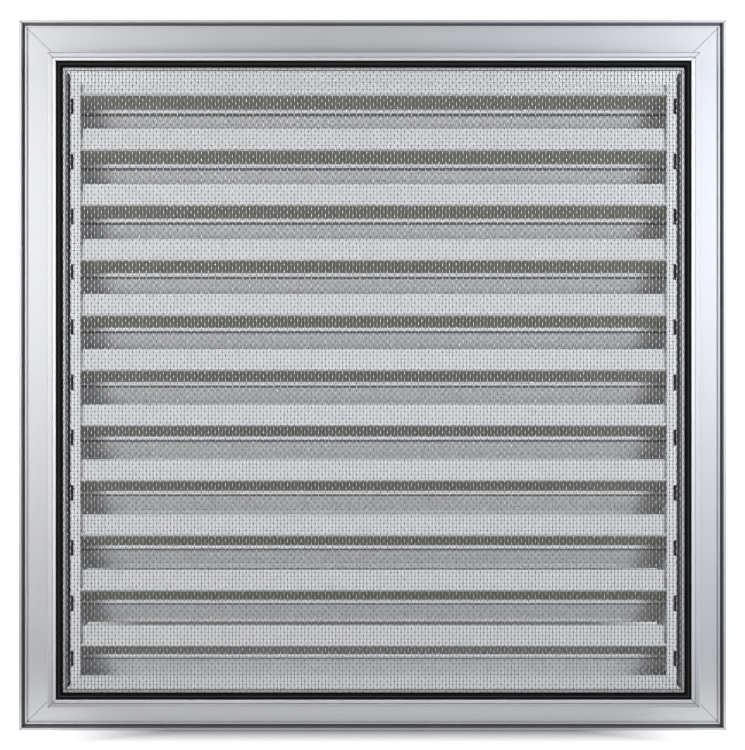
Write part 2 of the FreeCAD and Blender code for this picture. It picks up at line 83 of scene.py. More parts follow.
# Height of a blade's lip, foot of the first blade's, and the pitch of the blades
LIP_HEIGHT = 18.6 * MM
FIRST_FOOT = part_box(BLADES[0])[1][2] - LIP_HEIGHT
PITCH = (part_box(BLADES[0])[0][2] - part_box(BLADES[-1])[0][2]) / (len(BLADES) - 1)

# Axis of a screw, inwards from the edges of the box round all screws of a side
SEAT_RADIUS = 3.3 * MM

# Points of a repeated mesh that lie closer than this are joined
MERGE_DISTANCE = 0.02 * MM

# Flange beyond the body, and the bands of a rail with painted shade, painted highlight or dark mitre joints,
# all measured inwards from the flange's edge
OVERHANG = 38 * MM
SEALING_GROOVE = (2.4 * MM, 5.3 * MM)
BODY_CORNER = (OVERHANG - 2.2 * MM, OVERHANG + 0.1 * MM)
GROOVE_LIP = (OVERHANG + 4.9 * MM, OVERHANG + 7.9 * MM)
MITRE_WIDTH = 0.75 * MM

# Places along Y that those bands lie behind: the front of the flange's rim, and the lips at the rear
RIM_FRONT = 5 * MM
LIP_FRONT = -49 * MM

# What those bands add to a rail's colour or take from it, as shares: painted shade in the groove, darker
# mitre joints, painted shadow at the body's corner, painted highlight on the lip
GROOVE_PAINTED_SHADE = -0.84
MITRE_SHADE = -0.6
CORNER_PAINTED_SHADOW = -0.45
LIP_PAINTED_HIGHLIGHT = 0.22

# Painted shade towards the foot of the frame: the share of a rail's colour left at the foot, and the height
# at which all of it is there
FOOT_PAINTED_SHADE = 0.76
FOOT_HEIGHT = 110 * MM

# Painted shade on the blades' sloping webs, which face down behind the lips: its start and end along Y, how
# far each fades, and its colour
PAINTED_SHADE_FROM = BLADE_REAR + 1.8 * MM
PAINTED_SHADE_TO = BLADE_REAR + 16.6 * MM
PAINTED_SHADE_FADES = (0.3 * MM, 1.0 * MM)
PAINTED_SHADE_COLOUR = (0.30, 0.288, 0.255)

# Painted shadow in the crease under each knee: down from the foot, half its width, its soft edge, its reach
# along Y, its strength
CREASE_DROP = 17.1 * MM
CREASE_HALF_WIDTH = 1.5 * MM
CREASE_FADE = 0.4 * MM
CREASE_REACH = 5.5 * MM
CREASE_PAINTED_SHADOW = -0.75

# Painted shadow at the ends of the blades' lower webs, beside the carriers: where it is full along X, how far
# it fades, and its share
WEB_END = MESH_HIGH[0] - 20 * MM
WEB_FADE = 22 * MM
WEB_END_PAINTED_SHADOW = -0.6

# Stretch of the drawn grain across and along an extrusion
GRAIN_ACROSS = 1500.0
GRAIN_ALONG = 6.0

# Width of the spline's section, its band of painted highlight along the rib, inwards from its edge, and the
# colour of that band
SPLINE_SECTION = 5.4 * MM
SPLINE_RIB = (2.1 * MM, 3.3 * MM)
RIB_PAINTED_HIGHLIGHT = (0.045, 0.045, 0.045)

# Floor before and behind the grille, the backdrop's height, and the sweep that joins them, in metres
FLOOR_FRONT = 5.0
FLOOR_BACK = 2.8
BACKDROP_HEIGHT = 3.0
SWEEP_WIDTH = 0.9
SWEEP_SEGMENTS = 16

# The ground looks white beyond a place along Y, and turns so over a length before it
GLOW_START = -0.055
GLOW_FADE = 0.06

# A wedge of ground behind the grille isn't white, since it would shine through between the blades.
# Its half width and its top at the grille, what they gain per metre along Y, its far end, its soft edges
SHELTER_HALF_WIDTH = 0.19
SHELTER_TOP = 0.19
SHELTER_WIDENING = 0.225
SHELTER_RISE = 0.15
SHELTER_FADE = 0.125
SHELTER_END = 0.84
SHELTER_END_FADE = 0.4
SHELTER_START_FADE = 0.04

# Lamps: name, place, aim, width and height, power in watts, colour
WHITE = (1.0, 1.0, 1.0)
COOL_WHITE = (0.93, 0.96, 1.0)
LAMPS = (
    ("left_softbox", (-1.35, -1.35, 0.32), (0, 0, 0.1), (0.8, 0.8), 18, WHITE),
    ("right_softbox", (1.35, -1.35, 0.32), (0, 0, 0.1), (0.8, 0.8), 18.8, COOL_WHITE),
    ("top_softbox", (0, -0.6, 2.2), (0, 0, 0), (2.4, 1.2), 10, WHITE),
    ("front_softbox", (0, -1.6, -0.1), (0, 0, 0), (0.7, 0.35), 3.6, WHITE),
)
SKY_COLOUR = (0.97, 0.98, 1.0, 1.0)
SKY_STRENGTH = 0.03


# Small helpers

def deselect_all():
    """Leave nothing selected, so that the next operator acts on new work only."""
    if bpy.context.object and bpy.context.object.mode != "OBJECT":
        bpy.ops.object.mode_set(mode="OBJECT")
    bpy.ops.object.select_all(action="DESELECT")


def make_active(obj):
    """Select one object alone."""
    deselect_all()
    obj.select_set(True)
    bpy.context.view_layer.objects.active = obj


def settle(obj):
    """Bring an object's place into its mesh."""
    make_active(obj)
    bpy.ops.object.transform_apply(location=True, rotation=True, scale=True)


def select_where(obj, test, kind="vertices"):
    """In edit mode, select the vertices or faces of an object that pass a test on their place."""
    bpy.ops.mesh.select_all(action="DESELECT")
    bpy.ops.object.mode_set(mode="OBJECT")
    if kind == "faces":
        for face in obj.data.polygons:
            face.select = test(face.center)
    else:
        for vertex in obj.data.vertices:
            vertex.select = test(vertex.co)
    bpy.ops.object.mode_set(mode="EDIT")


def edit(obj, mode="VERT"):
    """Go into edit mode on one object with nothing selected."""
    make_active(obj)
    bpy.ops.object.mode_set(mode="EDIT")
    bpy.ops.mesh.select_mode(type=mode)
    bpy.ops.mesh.select_all(action="DESELECT")


def leave_edit(recalculate=True):
    """Leave edit mode, with the normals pointing outwards unless told not to turn them."""
    if recalculate:
        bpy.ops.mesh.select_all(action="SELECT")
        bpy.ops.mesh.normals_make_consistent(inside=False)
    bpy.ops.object.mode_set(mode="OBJECT")


def extrude(move):
    """In edit mode, extrude what is selected along a vector."""
    bpy.ops.mesh.extrude_region_move(TRANSFORM_OT_translate={"value": move})


def array(obj, count, step):
    """Repeat a mesh along a step and join what touches."""
    make_active(obj)
    repeat = obj.modifiers.new("Repeat", "ARRAY")
    repeat.count = count
    repeat.use_relative_offset = False
    repeat.use_constant_offset = True
    repeat.constant_offset_displace = step
    repeat.use_merge_vertices = True
    repeat.merge_threshold = MERGE_DISTANCE
    bpy.ops.object.modifier_apply(modifier=repeat.name)


def finish_piece(obj, name, material, nodes):
    """Name a piece, give it its material, hang it on the root body and hide the CAD parts that it stands in
    for.
    """
    obj.name = name
    obj.data.name = name
    obj.data.materials.clear()
    obj.data.materials.append(material)
    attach(obj, "root")
    for node in nodes:
        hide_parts(node)


# Shader nodes

def new_material(name):
    """A material whose shader feeds its output; returns the material and the shader."""
    material = bpy.data.materials.get(name) or bpy.data.materials.new(name)
    material.use_nodes = True
    material.node_tree.nodes.clear()
    nodes = material.node_tree.nodes
    output = nodes.new("ShaderNodeOutputMaterial")
    output.location = (600, 0)
    shader = nodes.new("ShaderNodeBsdfPrincipled")
    shader.location = (250, 0)
    material.node_tree.links.new(shader.outputs["BSDF"], output.inputs["Surface"])
    return material, shader


def new_group(name, inputs, outputs):
    """An empty shader group with named sockets; returns it with its two ends."""
    group = bpy.data.node_groups.new(name, "ShaderNodeTree")
    for label, kind, value in inputs:
        socket = group.interface.new_socket(name=label, in_out="INPUT", socket_type=kind)
        socket.default_value = value
    for label, kind in outputs:
        group.interface.new_socket(name=label, in_out="OUTPUT", socket_type=kind)
    start = group.nodes.new("NodeGroupInput")
    start.location = (-900, 0)
    end = group.nodes.new("NodeGroupOutput")
    end.location = (900, 0)
    return group, start, end


def group_node(tree, group, values):
    """A node of a shader group with its inputs set; returns its outputs."""
    node = tree.nodes.new("ShaderNodeGroup")
    node.node_tree = group
    for label, value in values.items():
        node.inputs[label].default_value = value
    return node.outputs


def object_place(tree):
    """The place of a point, in metres in the frame, since every object stands at the origin."""
    return tree.nodes.new("ShaderNodeTexCoord").outputs["Object"]


def object_axes(tree):
    """X, Y and Z of that place."""
    parts = tree.nodes.new("ShaderNodeSeparateXYZ")
    tree.links.new(object_place(tree), parts.inputs[0])
    return parts.outputs


def math_node(tree, operation, first, second=None, third=None, clamp=False):
    """A Math node fed by sockets or numbers; returns its output."""
    node = tree.nodes.new("ShaderNodeMath")
    node.operation = operation
    node.use_clamp = clamp
    for socket, value in zip(node.inputs, (first, second, third)):
        if value is None:
            continue
        if isinstance(value, (int, float)):
            socket.default_value = value
        else:
            tree.links.new(value, socket)
    return node.outputs[0]


def soft_step(tree, value, edge, fade):
    """0 up to an edge, and 1 once a value is past it by the fade."""
    return math_node(tree, "DIVIDE", math_node(tree, "SUBTRACT", value, edge), fade, clamp=True)


def weigh(tree, share, mask, change):
    """A share that has a change added, as a part of itself, where a mask is 1."""
    return math_node(tree, "MULTIPLY", share, math_node(tree, "MULTIPLY_ADD", mask, change, 1.0))


def remap(tree, value, low, high, start=0.0, stop=1.0):
    """Spread a value from start..stop to low..high."""
    node = tree.nodes.new("ShaderNodeMapRange")
    limits = {"From Min": start, "From Max": stop, "To Min": low, "To Max": high}
    for label, limit in limits.items():
        node.inputs[label].default_value = limit
    tree.links.new(value, node.inputs["Value"])
    return node.outputs["Result"]


def noise_node(tree, vector, scale, detail, roughness=0.5):
    """A Noise Texture read at a vector; returns its value."""
    node = tree.nodes.new("ShaderNodeTexNoise")
    node.inputs["Scale"].default_value = scale
    node.inputs["Detail"].default_value = detail
    node.inputs["Roughness"].default_value = roughness
    tree.links.new(vector, node.inputs["Vector"])
    return node.outputs["Fac"]


def mix_colours(tree, factor, first, second):
    """A mix of two colours, each a socket or three numbers; returns the mixed colour."""
    node = tree.nodes.new("ShaderNodeMix")
    node.data_type = "RGBA"
    tree.links.new(factor, node.inputs["Factor"])
    for socket, colour in zip(node.inputs[6:8], (first, second)):
        if isinstance(colour, bpy.types.NodeSocket):
            tree.links.new(colour, socket)
        else:
            socket.default_value = (*colour, 1.0)
    return node.outputs[2]


def scale_colour(tree, colour, share):
    """A colour times a share; returns the new colour."""
    node = tree.nodes.new("ShaderNodeVectorMath")
    node.operation = "SCALE"
    tree.links.new(colour, node.inputs[0])
    tree.links.new(share, node.inputs["Scale"])
    return node.outputs[0]


def add_relief(tree, shader, height, strength, distance):
    """Give a shader bumps from a height."""
    relief = tree.nodes.new("ShaderNodeBump")
    relief.inputs["Strength"].default_value = strength
    relief.inputs["Distance"].default_value = distance
    tree.links.new(height, relief.inputs["Height"])
    tree.links.new(relief.outputs["Normal"], shader.inputs["Normal"])


def drawn_grain_group():
    """Fine lines along an extrusion, the soft bands of its die, and the cloudiness of anodising."""
    name = "DrawnGrain"
    if name in bpy.data.node_groups:
        return bpy.data.node_groups[name]
    group, start, end = new_group(
        name,
        [
            ("Stretch", "NodeSocketVector", (1.0, 1.0, 1.0)),
            ("Base", "NodeSocketColor", (0.8, 0.8, 0.8, 1.0)),
            ("Tint", "NodeSocketFloat", 0.04),
            ("Roughness", "NodeSocketFloat", 0.4),
            ("Roughness Spread", "NodeSocketFloat", 0.06),
        ],
        [
            ("Color", "NodeSocketColor"),
            ("Roughness", "NodeSocketFloat"),
            ("Height", "NodeSocketFloat"),
        ],
    )
    place = object_place(group)
    stretched = group.nodes.new("ShaderNodeVectorMath")
    stretched.operation = "MULTIPLY"
    group.links.new(place, stretched.inputs[0])
    group.links.new(start.outputs["Stretch"], stretched.inputs[1])
    lines = noise_node(group, stretched.outputs[0], scale=1.0, detail=4.0, roughness=0.65)
    bands = noise_node(group, stretched.outputs[0], scale=0.16, detail=2.0)
    clouds = noise_node(group, place, scale=9.0, detail=3.0)
    mixed = 0.0
    for value, weight in ((lines, 0.45), (bands, 0.3), (clouds, 0.25)):
        mixed = math_node(group, "MULTIPLY_ADD", value, weight, mixed)
    centred = math_node(group, "SUBTRACT", mixed, 0.5)
    gain = math_node(group, "MULTIPLY_ADD", centred, start.outputs["Tint"], 1.0)
    group.links.new(scale_colour(group, start.outputs["Base"], gain), end.inputs["Color"])
    spread = start.outputs["Roughness Spread"]
    rough = math_node(group, "MULTIPLY_ADD", centred, spread, start.outputs["Roughness"])
    group.links.new(rough, end.inputs["Roughness"])
    group.links.new(lines, end.inputs["Height"])
    return group


def edge_band_group():
    """Masks of a band that runs round a rectangle, seen along Y, and of the mitre lines at its corners."""
    name = "EdgeBand"
    if name in bpy.data.node_groups:
        return bpy.data.node_groups[name]
    group, start, end = new_group(
        name,
        [
            ("Half Width", "NodeSocketFloat", 0.3),
            ("Half Height", "NodeSocketFloat", 0.3),
            ("From", "NodeSocketFloat", 0.002),
            ("To", "NodeSocketFloat", 0.004),
            ("Softness", "NodeSocketFloat", 0.0003),
            ("Front Limit", "NodeSocketFloat", 0.0),
            ("Mitre Width", "NodeSocketFloat", 0.0003),
        ],
        [("Band", "NodeSocketFloat"), ("Mitre", "NodeSocketFloat")],
    )
    axes = object_axes(group)
    from_side, from_level = (
        math_node(group, "SUBTRACT", start.outputs[half], math_node(group, "ABSOLUTE", axes[axis]))
        for half, axis in (("Half Width", "X"), ("Half Height", "Z"))
    )
    inwards = math_node(group, "MINIMUM", from_side, from_level)
    past = soft_step(group, inwards, start.outputs["From"], start.outputs["Softness"])
    short = soft_step(group, start.outputs["To"], inwards, start.outputs["Softness"])
    behind = math_node(group, "LESS_THAN", axes["Y"], start.outputs["Front Limit"])
    band = math_node(group, "MULTIPLY", math_node(group, "MULTIPLY", past, short), behind)
    group.links.new(band, end.inputs["Band"])
    off_line = math_node(group, "ABSOLUTE", math_node(group, "SUBTRACT", from_side, from_level))
    away = math_node(group, "DIVIDE", off_line, start.outputs["Mitre Width"], clamp=True)
    mitre = math_node(group, "MULTIPLY", math_node(group, "SUBTRACT", 1.0, away), behind)
    group.links.new(mitre, end.inputs["Mitre"])
    return group


def edge_band(tree, box, span, softness, front, mitre=0.3 * MM):
    """The masks of a band between two distances inwards from a box's edge, behind a place along Y."""
    low, high = box
    values = {
        "Half Width": (high[0] - low[0]) / 2,
        "Half Height": (high[2] - low[2]) / 2,
        "From": span[0],
        "To": span[1],
        "Softness": softness,
        "Front Limit": front,
        "Mitre Width": mitre,
    }
    return group_node(tree, edge_band_group(), values)


# Materials

def shade_rail(tree, colour):
    """Paint shade into a rail's sealing groove, its corner by the body and its foot, darken its mitre joints
    and paint a highlight on its lip; returns the colour.
    """
    # Painted shade in the sealing groove, with the mitre joints darker
    groove = edge_band(tree, CAD_BOX, SEALING_GROOVE, softness=0.2 * MM, front=RIM_FRONT, mitre=MITRE_WIDTH)
    # Painted shadow on the flange in the corner by the body
    corner = edge_band(tree, CAD_BOX, BODY_CORNER, softness=1.8 * MM, front=RIM_FRONT)
    # Painted highlight on the lip beside the spline's groove
    lip = edge_band(tree, CAD_BOX, GROOVE_LIP, softness=0.3 * MM, front=LIP_FRONT)
    # Painted shade, darker towards the foot of the frame
    foot = CAD_BOX[0][2]
    share = remap(tree, object_axes(tree)["Z"], FOOT_PAINTED_SHADE, 1.0, foot, foot + FOOT_HEIGHT)
    for mask, change in (
        (groove["Band"], GROOVE_PAINTED_SHADE),
        (groove["Mitre"], MITRE_SHADE),
        (corner["Band"], CORNER_PAINTED_SHADOW),
        (lip["Band"], LIP_PAINTED_HIGHLIGHT),
    ):
        share = weigh(tree, share, mask, change)
    return scale_colour(tree, colour, share)


def shade_blade(tree, colour):
    """Paint shade on a blade's sloping web, and a shadow in the crease under its knee and at its ends;
    returns the colour.
    """
    axes = object_axes(tree)
    # Painted shade on the sloping web, whose underside faces down behind the lip
    past = soft_step(tree, axes["Y"], PAINTED_SHADE_FROM, PAINTED_SHADE_FADES[0])
    short = soft_step(tree, PAINTED_SHADE_TO, axes["Y"], PAINTED_SHADE_FADES[1])
    dust_and_painted_shade = mix_colours(tree, math_node(tree, "MULTIPLY", past, short), colour, PAINTED_SHADE_COLOUR)
    # Painted shadow in the crease under each knee
    drop = math_node(tree, "SUBTRACT", FIRST_FOOT + PITCH, axes["Z"])
    drop = math_node(tree, "MODULO", drop, PITCH)
    off = math_node(tree, "ABSOLUTE", math_node(tree, "SUBTRACT", drop, CREASE_DROP))
    line = soft_step(tree, CREASE_HALF_WIDTH, off, CREASE_FADE)
    deep = math_node(tree, "GREATER_THAN", axes["Y"], PAINTED_SHADE_TO - PAINTED_SHADE_FADES[1])
    shallow = math_node(tree, "LESS_THAN", axes["Y"], PAINTED_SHADE_TO + CREASE_REACH)
    crease = math_node(tree, "MULTIPLY", line, math_node(tree, "MULTIPLY", deep, shallow))
    # Painted shadow at the ends of the lower webs, beside the carriers
    aside = soft_step(tree, math_node(tree, "ABSOLUTE", axes["X"]), WEB_END - WEB_FADE, WEB_FADE)
    share = weigh(tree, 1.0, crease, CREASE_PAINTED_SHADOW)
    share = weigh(tree, share, math_node(tree, "MULTIPLY", aside, deep), WEB_END_PAINTED_SHADOW)
    return scale_colour(tree, dust_and_painted_shade, share)


def anodised(name, base, grain, metallic=1.0, shade=None):
    """Satin anodised aluminium with its grain along X or Z, shaded by place if a function is given."""
    material, shader = new_material(name)
    tree = material.node_tree
    stretch = [GRAIN_ACROSS] * 3
    stretch["XYZ".index(grain)] = GRAIN_ALONG
    values = {
        "Stretch": stretch,
        "Base": (*base, 1.0),
        "Tint": 0.16,
        "Roughness": 0.5,
        "Roughness Spread": 0.25,
    }
    drawn = group_node(tree, drawn_grain_group(), values)
    colour = shade(tree, drawn["Color"]) if shade else drawn["Color"]
    tree.links.new(colour, shader.inputs["Base Color"])
    tree.links.new(drawn["Roughness"], shader.inputs["Roughness"])
    add_relief(tree, shader, drawn["Height"], strength=0.05, distance=0.05 * MM)
    shader.inputs["Metallic"].default_value = metallic
    return material


def wire_metal(name, base, dip, metallic, sizes):
    """Drawn wire, scratched: a painted highlight on the knuckles at the rear, and a share of that colour in
    the dips as painted shade.
    """
    material, shader = new_material(name)
    tree = material.node_tree
    place = object_place(tree)
    film = noise_node(tree, place, scale=60.0, detail=3.0)
    scratches = noise_node(tree, place, scale=4000.0, detail=2.0)
    rough = math_node(tree, "MULTIPLY_ADD", scratches, 0.1, remap(tree, film, 0.16, 0.3))
    tree.links.new(rough, shader.inputs["Roughness"])
    # Painted highlight on the knuckles that face the rear, and painted shade in the dips, by the wire's place
    # along Y
    dull_from = sizes.rear + 2.1 * sizes.wire_radius
    bright_from = sizes.rear + 1.0 * sizes.wire_radius
    height = remap(tree, object_axes(tree)["Y"], 0.0, 1.0, dull_from, bright_from)
    painted_knuckle_highlight = math_node(tree, "ADD", height, remap(tree, film, -0.1, 0.1), clamp=True)
    colour = mix_colours(tree, painted_knuckle_highlight, [dip * value for value in base], base)
    tree.links.new(colour, shader.inputs["Base Color"])
    shader.inputs["Metallic"].default_value = metallic
    return material


def black_rubber(name, base):
    """Matt black rubber with a fine moulded skin, a little dust and a painted highlight along the rib."""
    material, shader = new_material(name)
    tree = material.node_tree
    place = object_place(tree)
    skin = noise_node(tree, place, scale=2500.0, detail=3.0)
    dust = math_node(tree, "POWER", noise_node(tree, place, scale=45.0, detail=4.0), 2.0)
    dust_colour = [2.2 * value + 0.003 for value in base]
    dust_and_painted_shade = mix_colours(tree, dust, base, dust_colour)
    # Painted highlight along the spline's rib
    rib = edge_band(tree, (SPLINE_LOW, SPLINE_HIGH), SPLINE_RIB, softness=0.3 * MM, front=0.0)
    tree.links.new(mix_colours(tree, rib["Band"], dust_and_painted_shade, RIB_PAINTED_HIGHLIGHT), shader.inputs["Base Color"])
    tree.links.new(remap(tree, skin, 0.55, 0.75), shader.inputs["Roughness"])
    shader.inputs["Specular IOR Level"].default_value = 0.05
    add_relief(tree, shader, skin, strength=0.25, distance=0.04 * MM)
    return material


def black_coated(name, base):
    """Black coated steel for the screws, worn lighter in spots."""
    material, shader = new_material(name)
    tree = material.node_tree
    wear = noise_node(tree, object_place(tree), scale=900.0, detail=3.0)
    tree.links.new(remap(tree, wear, 0.3, 0.5), shader.inputs["Roughness"])
    worn = [2.0 * value for value in base]
    tree.links.new(mix_colours(tree, wear, base, worn), shader.inputs["Base Color"])
    shader.inputs["Metallic"].default_value = 0.6
    return material


def rays_that_see(tree):
    """1 for camera rays, first glossy rays and transmission rays, and 0 for the rays that light things."""
    rays = tree.nodes.new("ShaderNodeLightPath").outputs
    first = math_node(tree, "LESS_THAN", rays["Glossy Depth"], 1.5)
    mirrored = math_node(tree, "MULTIPLY", rays["Is Glossy Ray"], first)
    seen = math_node(tree, "MAXIMUM", rays["Is Camera Ray"], mirrored)
    return math_node(tree, "MAXIMUM", seen, rays["Is Transmission Ray"])


def outside_shelter(tree, axes):
    """0 in the wedge of ground behind the grille, and 1 around it."""
    aside = math_node(tree, "SUBTRACT", math_node(tree, "ABSOLUTE", axes["X"]), SHELTER_HALF_WIDTH)
    aside = math_node(tree, "MULTIPLY_ADD", axes["Y"], -SHELTER_WIDENING, aside)
    above = math_node(tree, "SUBTRACT", axes["Z"], SHELTER_TOP)
    above = math_node(tree, "MULTIPLY_ADD", axes["Y"], -SHELTER_RISE, above)
    around = soft_step(tree, math_node(tree, "MAXIMUM", aside, above), 0.0, SHELTER_FADE)
    beyond = soft_step(tree, axes["Y"], SHELTER_END, SHELTER_END_FADE)
    before = soft_step(tree, 0.0, axes["Y"], SHELTER_START_FADE)
    return math_node(tree, "MAXIMUM", math_node(tree, "MAXIMUM", around, beyond), before)


def pale_ground(name, colour):
    """Pale studio paper, which the camera and reflections see white; the light isn't changed by it."""
    material, shader = new_material(name)
    tree = material.node_tree
    mottle = noise_node(tree, object_place(tree), scale=3.0, detail=3.0)
    darker = [0.985 * value for value in colour]
    tree.links.new(mix_colours(tree, mottle, darker, colour), shader.inputs["Base Color"])
    shader.inputs["Roughness"].default_value = 0.9
    shader.inputs["Specular IOR Level"].default_value = 0.1
    axes = object_axes(tree)
    far = remap(tree, axes["Y"], 0.0, 1.0, GLOW_START - GLOW_FADE, GLOW_START)
    white = math_node(tree, "MULTIPLY", far, outside_shelter(tree, axes))
    glow = tree.nodes.new("ShaderNodeEmission")
    glow.inputs["Color"].default_value = (*WHITE, 1.0)
    tree.links.new(math_node(tree, "MULTIPLY", rays_that_see(tree), white), glow.inputs["Strength"])
    both = tree.nodes.new("ShaderNodeAddShader")
    tree.links.new(shader.outputs["BSDF"], both.inputs[0])
    tree.links.new(glow.outputs["Emission"], both.inputs[1])
    output = next(node for node in tree.nodes if node.type == "OUTPUT_MATERIAL")
    tree.links.new(both.outputs["Shader"], output.inputs["Surface"])
    return material


# Sizes and colours

class GrilleMeshSizes(bpy.types.PropertyGroup):
    """The woven insect mesh."""

    columns: bpy.props.IntProperty(
        name="Uprights", description="Upright wires of the mesh", default=181, min=3
    )
    rows: bpy.props.IntProperty(
        name="Levels", description="Level wires of the mesh", default=179, min=3
    )
    wire_radius: bpy.props.FloatProperty(
        name="Wire Radius", description="Mean radius of the wires", default=0.27 * MM, unit="LENGTH",
        precision=5,
    )
    upright_share: bpy.props.FloatProperty(
        name="Upright Share", description="Radius of an upright wire over the mean", default=1.36,
        min=0.5, max=1.5,
    )
    wire_sides: bpy.props.IntProperty(name="Wire Sides", description="Sides of a wire", default=3, min=3)
    rear: bpy.props.FloatProperty(
        name="Rear", description="Place of the mesh's rear face along Y", default=-52.0 * MM, unit="LENGTH"
    )
    edge: bpy.props.FloatProperty(
        name="Edge", description="Last crossing of the wires, inwards from the mesh's edge", default=1.3 * MM,
        unit="LENGTH",
    )
    tuck: bpy.props.FloatProperty(
        name="Tuck", description="Depth that the ends of the wires reach into the groove", default=2.4 * MM,
        unit="LENGTH",
    )


class GrilleSplineSizes(bpy.types.PropertyGroup):
    """The rubber spline round the mesh."""

    shoulder: bpy.props.FloatProperty(
        name="Shoulder", description="Height of the rounded shoulders", default=1.1 * MM, unit="LENGTH"
    )
    rib_width: bpy.props.FloatProperty(
        name="Rib Width", description="Width of the rib along the middle", default=0.7 * MM, unit="LENGTH"
    )
    rib_height: bpy.props.FloatProperty(
        name="Rib Height", description="Height of that rib", default=0.35 * MM, unit="LENGTH"
    )


class GrilleScrewSizes(bpy.types.PropertyGroup):
    """The pan head screws at the ends of the blades."""

    head_radius: bpy.props.FloatProperty(
        name="Head Radius", description="Radius of a screw head", default=2.6 * MM, unit="LENGTH"
    )
    head_height: bpy.props.FloatProperty(
        name="Head Height", description="Height of a screw head", default=3.2 * MM, unit="LENGTH"
    )
    shank_radius: bpy.props.FloatProperty(
        name="Shank Radius", description="Radius of a screw's shank", default=1.4 * MM, unit="LENGTH"
    )
    recess: bpy.props.FloatProperty(
        name="Recess", description="Depth of the round recess", default=1.4 * MM, unit="LENGTH"
    )


class GrilleColours(bpy.types.PropertyGroup):
    """Base colours of the finishes."""

    frame: bpy.props.FloatVectorProperty(
        name="Frame", description="Anodised frame", default=(0.685, 0.69, 0.715), size=3, subtype="COLOR"
    )
    blades: bpy.props.FloatVectorProperty(
        name="Blades", description="Anodised blades and carriers", default=(0.93, 0.935, 0.955), size=3,
        subtype="COLOR",
    )
    cleats: bpy.props.FloatVectorProperty(
        name="Cleats", description="Mill finish of the corner cleats", default=(0.6, 0.6, 0.6), size=3,
        subtype="COLOR",
    )
    wire: bpy.props.FloatVectorProperty(
        name="Wire", description="Wire of the mesh", default=(0.97, 0.97, 0.96), size=3, subtype="COLOR"
    )
    rubber: bpy.props.FloatVectorProperty(
        name="Rubber", description="Rubber spline", default=(0.003, 0.003, 0.0032), size=3, subtype="COLOR"
    )
    screws: bpy.props.FloatVectorProperty(
        name="Screws", description="Black coated screws", default=(0.02, 0.02, 0.02), size=3, subtype="COLOR"
    )
    ground: bpy.props.FloatVectorProperty(
        name="Ground", description="Pale floor and backdrop", default=(0.5, 0.5, 0.5), size=3, subtype="COLOR"
    )


class GrilleStage(bpy.types.PropertyGroup):
    """The camera and the lights."""

    eye: bpy.props.FloatVectorProperty(
        name="Eye", description="Place of the camera", default=(-0.025, -1.2886, 0.114), size=3, subtype="XYZ"
    )
    lens: bpy.props.FloatProperty(name="Lens", description="Focal length in millimetres", default=65.6)
    shift: bpy.props.FloatVectorProperty(
        name="Shift", description="Shift of the picture against the camera's axis",
        default=(0.0353, -0.161), size=2,
    )
    floor_gap: bpy.props.FloatProperty(
        name="Floor Gap", description="Floor below the lowest point", default=0.3 * MM, unit="LENGTH"
    )


# Operators

def weave(name, along, count, crossings, step_along, step_across, sizes, parity, material):
    """Every other wire of one direction, as one piece: one wave drawn out, repeated, tucked in and copied."""
    share = sizes.upright_share if along == "Z" else 2 - sizes.upright_share
    radius = sizes.wire_radius * share
    middle = sizes.rear + sizes.wire_radius * (1 + max(sizes.upright_share, 2 - sizes.upright_share))
    side = Vector((1, 0, 0)) if along == "Z" else Vector((0, 0, 1))
    forth = Vector((0, 0, 1)) if along == "Z" else Vector((1, 0, 0))
    rear_first = (parity == 0) == (along == "Z")
    swing = -sizes.wire_radius if rear_first else sizes.wire_radius
    quarter = forth * step_along / 2
    half_length = step_along * (crossings - 1) / 2
    first_across = -step_across * (count - 1)
    start = forth * -half_length + side * first_across + Vector((0, middle + swing, 0))
    deselect_all()
    bpy.ops.mesh.primitive_circle_add(
        vertices=sizes.wire_sides, radius=radius, fill_type="NOTHING",
        rotation=(0, 0, math.pi) if along == "Z" else (0, math.pi / 2, math.pi), location=start,
    )
    wire = bpy.context.object
    settle(wire)
    edit(wire)
    bpy.ops.mesh.select_all(action="SELECT")
    for reach in (-swing, -swing, swing, swing):
        extrude(quarter + Vector((0, reach, 0)))
    leave_edit(recalculate=False)
    array(wire, (crossings - 1) // 2, forth * 2 * step_along)
    edit(wire)
    for end in (-1, 1):
        limit = half_length - radius

        def at_end(place):
            return end * place.dot(forth) > limit

        select_where(wire, at_end)

        # Past its last crossing a wire bends down over half of the edge, and its end goes on into the groove
        extrude(forth * end * sizes.edge * 0.5 + Vector((0, radius * 0.5 - swing, 0)))
        extrude(forth * end * sizes.edge * 0.2 + Vector((0, sizes.tuck, 0)))
        bpy.ops.mesh.edge_face_add()
    leave_edit()
    array(wire, count, side * 2 * step_across)
    bpy.ops.object.shade_smooth()
    finish_piece(wire, name, material, ["insect_mesh"])


class GRILLE_OT_weave_mesh(bpy.types.Operator):
    """Weave the insect mesh, upright and level wires over and under each other"""

    bl_idname = "grille.weave_mesh"
    bl_label = "Weave Mesh"

    def execute(self, context):
        sizes = context.scene.grille_mesh
        colours = context.scene.grille_colours
        # The level wires get a darker copy of the wire's colour, as painted shade
        shaded = [0.45 * value for value in colours.wire]
        upright = wire_metal("mesh_wire_upright", colours.wire, dip=0.14, metallic=0.6, sizes=sizes)
        level = wire_metal("mesh_wire_level", shaded, dip=0.6, metallic=1.0, sizes=sizes)
        step_x = (MESH_HIGH[0] - MESH_LOW[0] - 2 * sizes.edge) / (sizes.columns - 1)
        step_z = (MESH_HIGH[2] - MESH_LOW[2] - 2 * sizes.edge) / (sizes.rows - 1)
        for parity, label in ((0, "even"), (1, "odd")):
            uprights = (sizes.columns + 1) // 2 - parity
            levels = (sizes.rows + 1) // 2 - parity
            weave(f"mesh_uprights_{label}", "Z", uprights, sizes.rows, step_z, step_x, sizes, parity, upright)
            weave(f"mesh_levels_{label}", "X", levels, sizes.columns, step_x, step_z, sizes, parity, level)
        return {"FINISHED"}


